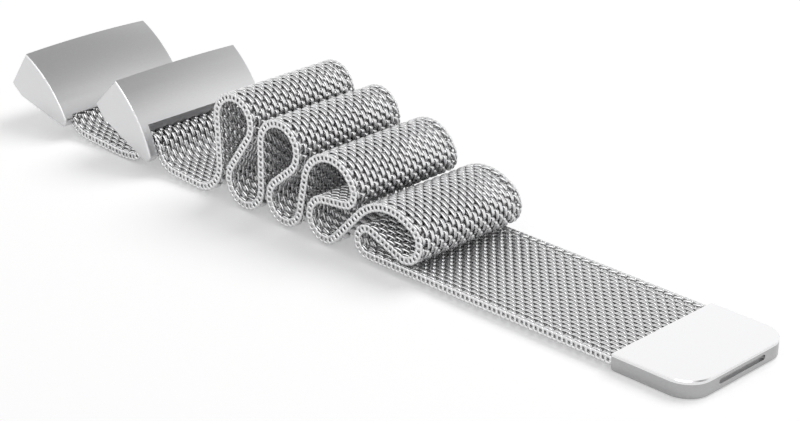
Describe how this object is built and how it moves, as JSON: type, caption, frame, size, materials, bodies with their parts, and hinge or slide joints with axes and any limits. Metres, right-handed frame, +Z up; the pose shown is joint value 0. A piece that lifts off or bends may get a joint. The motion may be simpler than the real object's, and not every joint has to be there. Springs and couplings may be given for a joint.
{
  "type": "milanese mesh band",
  "caption": "Woven steel watch band lying in loose folds, with a fixed lug, a lug that the mesh slides through, and a magnetic clasp tab.",
  "frame": {"origin": "centre of the band's bounding box, on the surface that it lies on", "axes": "+X along the band towards the clasp, +Y across the band, +Z up"},
  "size_m": [0.1268, 0.0232, 0.0168],
  "materials": {
    "woven_steel": "woven steel wire, bright",
    "satin_steel": "satin steel",
    "polished_steel": "polished steel",
    "fittings": "plain steel pins, catches and springs",
    "magnet": "plated magnet",
    "polymer": "pale polymer"
  },
  "bodies": {
    "sag_1": {"mesh_sag_1": "woven_steel"},
    "sag_2": {"mesh_sag_2": "woven_steel"},
    "sag_3": {"mesh_sag_3": "woven_steel"},
    "slot_bend": {"mesh_slot_bend": "woven_steel", "mesh_slot_run": "woven_steel"},
    "valley_0": {"mesh_valley_0": "woven_steel"},
    "fold_1_rise": {"mesh_fold_1_rise": "woven_steel"},
    "fold_1_crest": {"mesh_fold_1_crest": "woven_steel"},
    "fold_1_fall": {"mesh_fold_1_fall": "woven_steel"},
    "valley_1": {"mesh_valley_1": "woven_steel"},
    "fold_2_rise": {"mesh_fold_2_rise": "woven_steel"},
    "fold_2_crest": {"mesh_fold_2_crest": "woven_steel"},
    "fold_2_fall": {"mesh_fold_2_fall": "woven_steel"},
    "valley_2": {"mesh_valley_2": "woven_steel"},
    "fold_3_rise": {"mesh_fold_3_rise": "woven_steel"},
    "fold_3_crest": {"mesh_fold_3_crest": "woven_steel", "mesh_fold_3_tuck": "woven_steel"},
    "fold_3_return": {"mesh_fold_3_return": "woven_steel"},
    "valley_3": {"mesh_valley_3": "woven_steel"},
    "fold_4_rise": {"mesh_fold_4_rise": "woven_steel"},
    "fold_4_crest": {"mesh_fold_4_crest": "woven_steel", "mesh_fold_4_bight": "woven_steel"},
    "fold_4_return": {"mesh_fold_4_return": "woven_steel"},
    "fold_4_loop": {"mesh_fold_4_loop": "woven_steel", "mesh_flat_1": "woven_steel"},
    "flat_2": {"mesh_flat_2": "woven_steel"},
    "flat_3": {"mesh_flat_3": "woven_steel"},
    "flat_4": {"mesh_flat_4": "woven_steel"},
    "flat_5": {"mesh_flat_5": "woven_steel"},
    "flat_6": {"mesh_flat_6": "woven_steel"},
    "clasp_tail": {"mesh_clasp_tail": "woven_steel", "clasp_tray": "satin_steel", "clasp_plate": "polished_steel", "clasp_magnets": "magnet", "clasp_keeper": "fittings", "clasp_rod": "fittings"},
    "fixed_lug": {"fixed_lug_body": "satin_steel", "mesh_anchor_pin": "fittings", "fixed_lug_catch_cover": "fittings", "fixed_lug_catch_spring": "fittings", "fixed_lug_pads": "polymer"},
    "sliding_lug": {"sliding_lug_body": "satin_steel", "slot_bar": "fittings", "sliding_lug_catch_cover": "fittings", "sliding_lug_catch_spring": "fittings", "sliding_lug_pads": "polymer"},
    "fixed_catch": {"fixed_lug_catch": "fittings"},
    "sliding_catch": {"sliding_lug_catch": "fittings"}
  },
  "joints": [
    {"name": "fold_2_fall_hinge", "type": "hinge", "parent": "valley_2", "child": "fold_2_fall", "pos_m": [-0.00799, 0, 0.00616], "axis": [0, -1, 0], "range_deg": [-6, 0]},
    {"name": "fold_2_crest_hinge", "type": "hinge", "parent": "fold_2_fall", "child": "fold_2_crest", "pos_m": [-0.0051, 0, 0.00865], "axis": [0, -1, 0], "range_deg": [0, 6]},
    {"name": "fold_2_open", "type": "hinge", "parent": "fold_2_crest", "child": "fold_2_rise", "pos_m": [-0.01075, 0, 0.01104], "axis": [0, -1, 0], "range_deg": [-20, 0]},
    {"name": "fold_2_valley_hinge", "type": "hinge", "parent": "fold_2_rise", "child": "valley_1", "pos_m": [-0.01061, 0, 0.00417], "axis": [0, -1, 0], "range_deg": [0, 20]},
    {"name": "fold_1_fall_hinge", "type": "hinge", "parent": "valley_1", "child": "fold_1_fall", "pos_m": [-0.01651, 0, 0.00611], "axis": [0, -1, 0], "range_deg": [-3.4, 0]},
    {"name": "fold_1_crest_hinge", "type": "hinge", "parent": "fold_1_fall", "child": "fold_1_crest", "pos_m": [-0.01315, 0, 0.01121], "axis": [0, -1, 0], "range_deg": [0, 3.4]},
    {"name": "fold_1_open", "type": "hinge", "parent": "fold_1_crest", "child": "fold_1_rise", "pos_m": [-0.01957, 0, 0.01292], "axis": [0, -1, 0], "range_deg": [-20, 0]},
    {"name": "fold_1_valley_hinge", "type": "hinge", "parent": "fold_1_rise", "child": "valley_0", "pos_m": [-0.01901, 0, 0.0053], "axis": [0, -1, 0], "range_deg": [0, 20]},
    {"name": "lug_run_lift", "type": "hinge", "parent": "valley_0", "child": "slot_bend", "pos_m": [-0.02573, 0, 0.00109], "axis": [0, -1, 0], "range_deg": [-10, 0]},
    {"name": "sag_hinge_3", "type": "hinge", "parent": "slot_bend", "child": "sag_3", "pos_m": [-0.03823, 0, 0.00089], "axis": [0, -1, 0], "range_deg": [-12, 0]},
    {"name": "sag_hinge_2", "type": "hinge", "parent": "sag_3", "child": "sag_2", "pos_m": [-0.04356, 0, 0.00084], "axis": [0, -1, 0], "range_deg": [-12, 0]},
    {"name": "sag_hinge_1", "type": "hinge", "parent": "sag_2", "child": "sag_1", "pos_m": [-0.04814, 0, 0.0011], "axis": [0, -1, 0], "range_deg": [-12, 0]},
    {"name": "fixed_lug_pivot", "type": "hinge", "parent": "sag_1", "child": "fixed_lug", "pos_m": [-0.05277, 0, 0.0035], "axis": [0, -1, 0], "range_deg": [-6, 25]},
    {"name": "sliding_lug_pivot", "type": "hinge", "parent": "slot_bend", "child": "sliding_lug", "pos_m": [-0.03367, 0, 0.00375], "axis": [0, -1, 0], "range_deg": [-25, 25]},
    {"name": "fold_3_open", "type": "hinge", "parent": "valley_2", "child": "fold_3_rise", "pos_m": [-0.003, 0, 0.00351], "axis": [0, -1, 0], "range_deg": [-10, 0]},
    {"name": "fold_3_crest_hinge", "type": "hinge", "parent": "fold_3_rise", "child": "fold_3_crest", "pos_m": [-0.00212, 0, 0.00878], "axis": [0, -1, 0], "range_deg": [0, 10]},
    {"name": "fold_3_return_hinge", "type": "hinge", "parent": "fold_3_crest", "child": "fold_3_return", "pos_m": [0.00535, 0, 0.00709], "axis": [0, -1, 0], "range_deg": [-3.6, 0]},
    {"name": "fold_3_valley_hinge", "type": "hinge", "parent": "fold_3_return", "child": "valley_3", "pos_m": [0.00156, 0, 0.00664], "axis": [0, -1, 0], "range_deg": [0, 3.6]},
    {"name": "fold_4_lift", "type": "hinge", "parent": "valley_3", "child": "fold_4_rise", "pos_m": [0.00351, 0, 0.00157], "axis": [0, -1, 0], "range_deg": [0, 5]},
    {"name": "fold_4_crest_hinge", "type": "hinge", "parent": "fold_4_rise", "child": "fold_4_crest", "pos_m": [0.00763, 0, 0.00608], "axis": [0, -1, 0], "range_deg": [-5, 0]},
    {"name": "fold_4_return_hinge", "type": "hinge", "parent": "fold_4_crest", "child": "fold_4_return", "pos_m": [0.01617, 0, 0.00286], "axis": [0, -1, 0], "range_deg": [0, 4.32]},
    {"name": "fold_4_loop_hinge", "type": "hinge", "parent": "fold_4_return", "child": "fold_4_loop", "pos_m": [0.01115, 0, 0.00468], "axis": [0, -1, 0], "range_deg": [-4.32, 0]},
    {"name": "flat_hinge_1", "type": "hinge", "parent": "fold_4_loop", "child": "flat_2", "pos_m": [0.0208, 0, 0.00125], "axis": [0, -1, 0], "range_deg": [0, 25]},
    {"name": "flat_hinge_2", "type": "hinge", "parent": "flat_2", "child": "flat_3", "pos_m": [0.0269, 0, 0.00125], "axis": [0, -1, 0], "range_deg": [0, 25]},
    {"name": "flat_hinge_3", "type": "hinge", "parent": "flat_3", "child": "flat_4", "pos_m": [0.03302, 0, 0.00125], "axis": [0, -1, 0], "range_deg": [0, 25]},
    {"name": "flat_hinge_4", "type": "hinge", "parent": "flat_4", "child": "flat_5", "pos_m": [0.03913, 0, 0.00125], "axis": [0, -1, 0], "range_deg": [0, 25]},
    {"name": "flat_hinge_5", "type": "hinge", "parent": "flat_5", "child": "flat_6", "pos_m": [0.04524, 0, 0.00125], "axis": [0, -1, 0], "range_deg": [0, 25]},
    {"name": "flat_hinge_6", "type": "hinge", "parent": "flat_6", "child": "clasp_tail", "pos_m": [0.04906, 0, 0.00125], "axis": [0, -1, 0], "range_deg": [0, 25]},
    {"name": "fixed_catch_press", "type": "slide", "parent": "fixed_lug", "child": "fixed_catch", "axis": [0.8387, 0, -0.5446], "range_m": [0, 0.0004], "stiffness_N_per_m": 2000, "springref_m": -0.0003},
    {"name": "sliding_catch_press", "type": "slide", "parent": "sliding_lug", "child": "sliding_catch", "axis": [0.7193, 0, -0.6947], "range_m": [0, 0.0004], "stiffness_N_per_m": 2000, "springref_m": -0.0003}
  ],
  "couplings": [
    {"joint": "fold_2_fall_hinge", "follows": "fold_2_open", "ratio": 0.3},
    {"joint": "fold_2_crest_hinge", "follows": "fold_2_open", "ratio": -0.3},
    {"joint": "fold_2_valley_hinge", "follows": "fold_2_open", "ratio": -1},
    {"joint": "fold_1_fall_hinge", "follows": "fold_1_open", "ratio": 0.17},
    {"joint": "fold_1_crest_hinge", "follows": "fold_1_open", "ratio": -0.17},
    {"joint": "fold_1_valley_hinge", "follows": "fold_1_open", "ratio": -1},
    {"joint": "fold_3_crest_hinge", "follows": "fold_3_open", "ratio": -1},
    {"joint": "fold_3_return_hinge", "follows": "fold_3_open", "ratio": 0.36},
    {"joint": "fold_3_valley_hinge", "follows": "fold_3_open", "ratio": -0.36},
    {"joint": "fold_4_crest_hinge", "follows": "fold_4_lift", "ratio": -1},
    {"joint": "fold_4_return_hinge", "follows": "fold_4_lift", "ratio": 0.863},
    {"joint": "fold_4_loop_hinge", "follows": "fold_4_lift", "ratio": -0.863}
  ]
}
